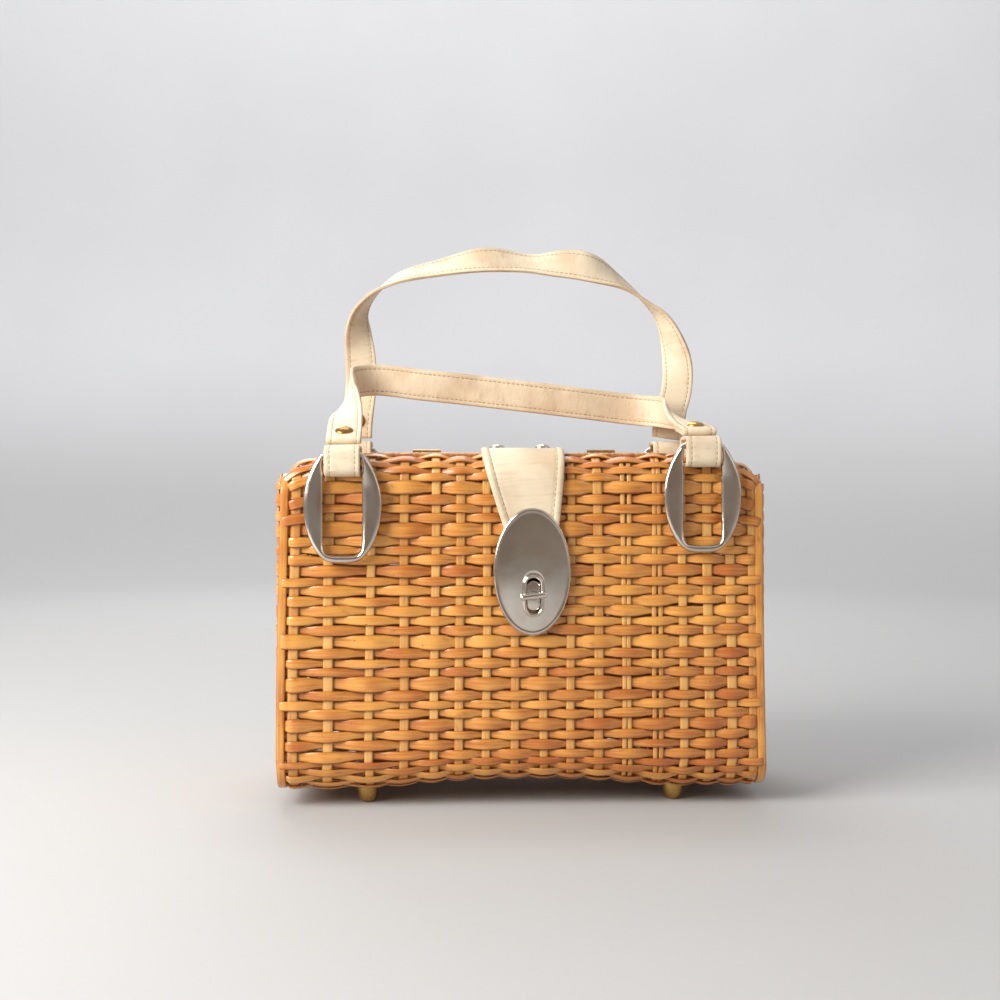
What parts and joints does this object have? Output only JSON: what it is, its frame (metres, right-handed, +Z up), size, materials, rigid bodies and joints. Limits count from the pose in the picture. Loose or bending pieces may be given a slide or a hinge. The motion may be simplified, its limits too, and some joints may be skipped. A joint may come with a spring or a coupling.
{
  "type": "basket box bag",
  "caption": "Woven cane box bag with a hatch lid, leather tab and turn lock, metal rings and two leather strap handles.",
  "frame": {"origin": "on the table under the middle of the bag", "axes": "+X to the bag's right seen from the front, -Y towards the front, +Z up"},
  "size_m": [0.254, 0.13, 0.3062],
  "materials": {
    "cane": "varnished weave",
    "rattan": "varnished rod",
    "brass": "polished, worn",
    "nickel": "polished",
    "leather": "smooth, stitched"
  },
  "bodies": {
    "basket": {"basket_body": "cane", "rim_hoop": "rattan", "hinge_left_body_leaf": "brass", "hinge_right_body_leaf": "brass", "hinge_left_pin": "brass", "hinge_right_pin": "brass", "lock_base": "nickel", "lock_backplate": "nickel", "strap_loop_front_left": "leather", "strap_loop_front_right": "leather", "strap_loop_back_left": "leather", "strap_loop_back_right": "leather", "foot_front_left": "brass", "foot_front_right": "brass", "foot_back_left": "brass", "foot_back_right": "brass", "foot_washers": "brass", "foot_nuts": "brass"},
    "lid": {"lid": "cane", "hinge_left_lid_leaf": "brass", "hinge_right_lid_leaf": "brass", "tab_root": "leather", "tab_stud_left": "nickel", "tab_stud_right": "nickel", "tab_stud_washers": "nickel"},
    "tab": {"clasp_tab": "leather", "clasp_plate": "nickel", "clasp_eyelet": "nickel"},
    "knob": {"lock_knob": "nickel"},
    "front_handle": {"handle_front": "leather", "handle_rivet_front_left": "brass", "handle_rivet_front_right": "brass"},
    "back_handle": {"handle_back": "leather", "handle_rivet_back_left": "brass", "handle_rivet_back_right": "brass"},
    "ring_front_left": {"ring_front_left": "nickel"},
    "ring_front_right": {"ring_front_right": "nickel"},
    "ring_back_left": {"ring_back_left": "nickel"},
    "ring_back_right": {"ring_back_right": "nickel"}
  },
  "joints": [
    {"name": "lid_open", "type": "hinge", "parent": "basket", "child": "lid", "pos_m": [0, 0.031, 0.1839], "axis": [-1, 0, 0], "range_deg": [0, 90]},
    {"name": "tab_lift", "type": "hinge", "parent": "lid", "child": "tab", "pos_m": [0.0003, -0.04, 0.1844], "axis": [-1, 0, 0], "range_deg": [0, 100]},
    {"name": "knob_turn", "type": "hinge", "parent": "basket", "child": "knob", "pos_m": [0.005, -0.06, 0.109], "axis": [0, -1, 0], "range_deg": [0, 90]},
    {"name": "front_handle_swing", "type": "hinge", "parent": "basket", "child": "front_handle", "pos_m": [-0.0914, -0.05, 0.1873], "axis": [0.9996, 0, 0.0273], "range_deg": [0, 145]},
    {"name": "back_handle_swing", "type": "hinge", "parent": "basket", "child": "back_handle", "pos_m": [-0.0914, 0.05, 0.1933], "axis": [-1, 0, 0], "range_deg": [0, 72]},
    {"name": "ring_front_left_swing", "type": "hinge", "parent": "basket", "child": "ring_front_left", "pos_m": [-0.0914, -0.058, 0.1805], "axis": [-1, 0, 0], "range_deg": [0, 60]},
    {"name": "ring_front_right_swing", "type": "hinge", "parent": "basket", "child": "ring_front_right", "pos_m": [0.0914, -0.058, 0.1855], "axis": [-1, 0, 0], "range_deg": [0, 60]},
    {"name": "ring_back_left_swing", "type": "hinge", "parent": "basket", "child": "ring_back_left", "pos_m": [-0.0914, 0.058, 0.1865], "axis": [1, 0, 0], "range_deg": [0, 60]},
    {"name": "ring_back_right_swing", "type": "hinge", "parent": "basket", "child": "ring_back_right", "pos_m": [0.0914, 0.058, 0.1865], "axis": [1, 0, 0], "range_deg": [0, 60]}
  ]
}
